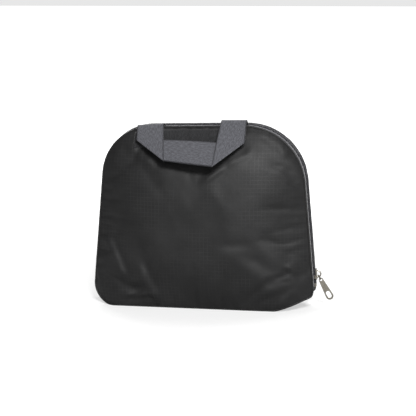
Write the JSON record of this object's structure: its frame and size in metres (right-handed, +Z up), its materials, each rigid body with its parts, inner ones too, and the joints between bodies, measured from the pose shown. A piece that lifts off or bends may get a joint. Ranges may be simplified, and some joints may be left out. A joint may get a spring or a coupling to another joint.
{
  "type": "film changing bag",
  "caption": "Light-tight film changing bag folded inside its zipped D-shaped nylon carrying pouch, with a webbing handle and a metal zip pull.",
  "frame": {"origin": "middle of the flat base, on the surface the pouch stands on", "axes": "+Z up, +X to the pouch's right as seen from its front, -Y out of its front"},
  "size_m": [0.2649, 0.093, 0.2028],
  "materials": {
    "nylon_black": "black ripstop nylon, slightly glossy, puckered at its seams",
    "zip_tape": "woven grey zip tape",
    "zip_coil": "dark nylon coil zip",
    "binding": "folded black binding tape",
    "nickel": "warm nickel plate, satin",
    "webbing": "flat grey nylon webbing",
    "facing": "dark ribbed grosgrain",
    "bag_cloth": "black woven cloth with a dull coating",
    "bag_lining": "black rubberised lining",
    "elastic": "black braided elastic"
  },
  "bodies": {
    "front_shell": {"front_panel": "nylon_black", "base_gusset": "nylon_black", "zip_tape_front": "zip_tape", "zip_coil_front": "zip_coil", "seam_binding_front": "binding", "zip_bottom_stop": "nickel", "zip_top_stop_front": "nickel", "handle_anchors": "webbing", "handle_facing": "facing", "changing_bag_outer": "bag_cloth", "changing_bag_lining": "bag_lining", "arm_sleeve_left": "bag_cloth", "arm_sleeve_right": "bag_cloth", "cuff_elastic_left": "elastic", "cuff_elastic_right": "elastic", "mouth_zip_outer": "zip_coil", "mouth_zip_inner": "zip_coil", "mouth_zip_outer_slider": "nickel", "mouth_zip_inner_slider": "nickel"},
    "back_flap": {"back_panel": "nylon_black", "zip_tape_back": "zip_tape", "zip_coil_back": "zip_coil", "seam_binding_back": "binding", "zip_top_stop_back": "nickel"},
    "slider": {"zip_slider": "nickel"},
    "pull_link": {"zip_pull_link": "nickel"},
    "pull_tab": {"zip_pull_tab": "nickel"},
    "handle": {"handle_strap": "webbing"}
  },
  "joints": [
    {"name": "back_opening", "type": "hinge", "parent": "front_shell", "child": "back_flap", "pos_m": [0, 0.0292, 0], "axis": [-1, 0, 0], "range_deg": [0, 75]},
    {"name": "zip_slide", "type": "slide", "parent": "front_shell", "child": "slider", "axis": [-0.089, 0, 0.996], "range_m": [-0.003, 0.093]},
    {"name": "link_swing", "type": "hinge", "parent": "slider", "child": "pull_link", "pos_m": [0.12422, 0, 0.03739], "axis": [0, -1, 0], "range_deg": [-10, 120]},
    {"name": "tab_swing", "type": "hinge", "parent": "pull_link", "child": "pull_tab", "pos_m": [0.12747, 0, 0.03153], "axis": [0, -1, 0], "range_deg": [-10, 30]},
    {"name": "handle_swing", "type": "hinge", "parent": "front_shell", "child": "handle", "pos_m": [-0.013, -0.0162, 0.20058], "axis": [-0.9997, 0, -0.0248], "range_deg": [0, 150]}
  ]
}
